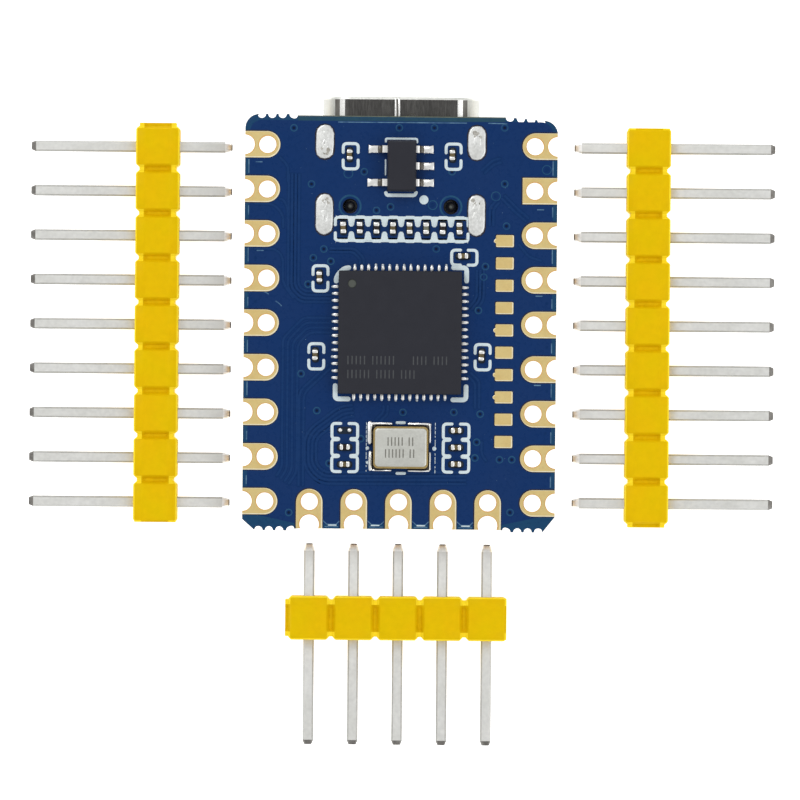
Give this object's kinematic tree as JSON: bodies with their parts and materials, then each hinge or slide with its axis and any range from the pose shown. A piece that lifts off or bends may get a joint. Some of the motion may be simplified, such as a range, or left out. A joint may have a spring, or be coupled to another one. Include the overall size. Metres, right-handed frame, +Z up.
{
  "type": "microcontroller dev board",
  "caption": "Castellated microcontroller board with an underside USB socket and press buttons, laid out with loose straight pin header strips ready to solder.",
  "frame": {"origin": "centre of the kit's footprint, at the height of the surface it lies on", "axes": "+Y along the board towards its USB socket, +Z up from the chip side, +X to the right seen from above"},
  "size_m": [0.0426, 0.037, 0.0053],
  "materials": {
    "board": "blue solder mask on glass-epoxy laminate",
    "package": "moulded epoxy, fine matt",
    "crystal_ceramic": "dark sintered ceramic",
    "crystal_lid": "nickel plated, satin",
    "usb_shell": "nickel plated, bright",
    "usb_insulator": "moulded black",
    "led_housing": "moulded white",
    "led_lens": "clear resin",
    "capacitor": "tan sintered ceramic with tinned ends",
    "resistor": "black glaze with tinned ends",
    "inductor": "grey ferrite with tinned ends",
    "switch_base": "moulded black",
    "switch_dome": "sprung stainless sheet",
    "switch_cover": "pressed stainless sheet",
    "button": "moulded off-white",
    "header_housing": "moulded yellow",
    "header_pin": "bright tin plate"
  },
  "bodies": {
    "board": {"pcb": "board", "mcu_chip": "package", "voltage_regulator": "package", "crystal_base": "crystal_ceramic", "crystal_lid": "crystal_lid", "usb_shell": "usb_shell", "usb_insulator": "usb_insulator", "flash_chip": "package", "led_housing": "led_housing", "led_lens": "led_lens", "row_capacitor_1": "capacitor", "row_resistor_2": "resistor", "row_resistor_3": "resistor", "row_capacitor_4": "capacitor", "row_capacitor_5": "capacitor", "row_inductor_6": "inductor", "row_resistor_7": "resistor", "row_capacitor_8": "capacitor", "regulator_capacitor_1": "capacitor", "regulator_capacitor_2": "capacitor", "mcu_capacitor_1": "capacitor", "mcu_capacitor_2": "capacitor", "mcu_capacitor_3": "capacitor", "mcu_capacitor_4": "capacitor", "boot_switch_base": "switch_base", "boot_switch_dome": "switch_dome", "boot_switch_cover": "switch_cover", "reset_switch_base": "switch_base", "reset_switch_dome": "switch_dome", "reset_switch_cover": "switch_cover"},
    "boot_key": {"boot_button": "button"},
    "reset_key": {"reset_button": "button"},
    "left_header": {"left_header_housing": "header_housing", "left_header_pin_1": "header_pin", "left_header_pin_2": "header_pin", "left_header_pin_3": "header_pin", "left_header_pin_4": "header_pin", "left_header_pin_5": "header_pin", "left_header_pin_6": "header_pin", "left_header_pin_7": "header_pin", "left_header_pin_8": "header_pin", "left_header_pin_9": "header_pin"},
    "right_header": {"right_header_housing": "header_housing", "right_header_pin_1": "header_pin", "right_header_pin_2": "header_pin", "right_header_pin_3": "header_pin", "right_header_pin_4": "header_pin", "right_header_pin_5": "header_pin", "right_header_pin_6": "header_pin", "right_header_pin_7": "header_pin", "right_header_pin_8": "header_pin", "right_header_pin_9": "header_pin"},
    "bottom_header": {"bottom_header_housing": "header_housing", "bottom_header_pin_1": "header_pin", "bottom_header_pin_2": "header_pin", "bottom_header_pin_3": "header_pin", "bottom_header_pin_4": "header_pin", "bottom_header_pin_5": "header_pin"}
  },
  "joints": [
    {"name": "boot_press", "type": "slide", "parent": "board", "child": "boot_key", "axis": [0, 0, 1], "range_m": [0, 0.00025], "stiffness_N_per_m": 6000, "deforming": ["boot_switch_dome"]},
    {"name": "reset_press", "type": "slide", "parent": "board", "child": "reset_key", "axis": [0, 0, 1], "range_m": [0, 0.00025], "stiffness_N_per_m": 6000, "deforming": ["reset_switch_dome"]},
    {"name": "left_header_lay", "type": "slide", "parent": "board", "child": "left_header", "axis": [-1, 0, 0], "range_m": [0, 0.01]},
    {"name": "right_header_lay", "type": "slide", "parent": "board", "child": "right_header", "axis": [1, 0, 0], "range_m": [0, 0.01]},
    {"name": "bottom_header_lay", "type": "slide", "parent": "board", "child": "bottom_header", "axis": [0, -1, 0], "range_m": [0, 0.01]}
  ]
}
